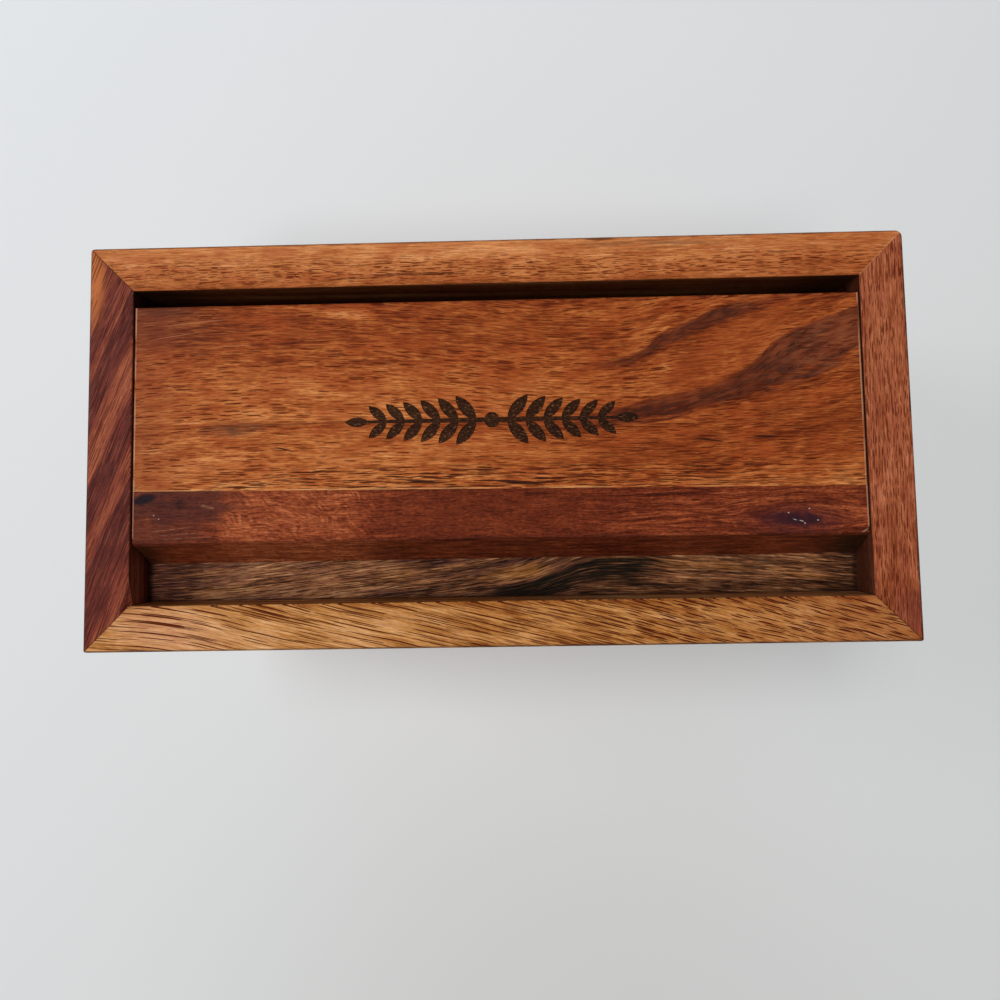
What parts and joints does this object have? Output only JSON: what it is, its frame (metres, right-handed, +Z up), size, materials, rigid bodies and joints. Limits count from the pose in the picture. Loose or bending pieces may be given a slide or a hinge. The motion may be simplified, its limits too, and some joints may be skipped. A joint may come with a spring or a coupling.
{
  "type": "recipe card box",
  "caption": "Mitred hardwood card box with a lid set down inside its rim, which turns on two hidden pins, and an open groove along the front to stand a card in.",
  "frame": {"origin": "on the surface that the box stands on, under the middle of the box", "axes": "+X to the right along the box's length, +Y to the back where the lid turns, +Z up; the open groove runs along the front, at -Y"},
  "size_m": [0.18, 0.089, 0.13],
  "materials": {
    "golden_heartwood": "oiled, satin, orange-brown with fine dark pores",
    "red_heartwood": "oiled, satin, red-brown with darker streaks",
    "dark_heartwood": "oiled, satin, dark purple-brown with black streaks",
    "sapwood": "oiled, satin, pale golden with fine dark pores",
    "steel_pin": "bright drawn steel"
  },
  "bodies": {
    "box": {"front_wall_top_board": "sapwood", "front_wall_middle_board": "red_heartwood", "front_wall_bottom_board": "golden_heartwood", "right_wall_top_board": "red_heartwood", "right_wall_middle_board": "golden_heartwood", "right_wall_bottom_board": "dark_heartwood", "back_wall_top_board": "golden_heartwood", "back_wall_middle_board": "red_heartwood", "back_wall_bottom_board": "golden_heartwood", "left_wall_top_board": "dark_heartwood", "left_wall_middle_board": "golden_heartwood", "left_wall_bottom_board": "red_heartwood", "bottom_panel_front_board": "sapwood", "bottom_panel_back_board": "golden_heartwood", "groove_ledge": "dark_heartwood"},
    "lid": {"lid_main_board": "golden_heartwood", "lid_front_strip": "red_heartwood", "lid_pin_left": "steel_pin", "lid_pin_right": "steel_pin"}
  },
  "joints": [
    {"name": "lid_hinge", "type": "hinge", "parent": "box", "child": "lid", "pos_m": [0, 0.02607, 0.124], "axis": [-1, 0, 0], "range_deg": [0, 112]}
  ]
}
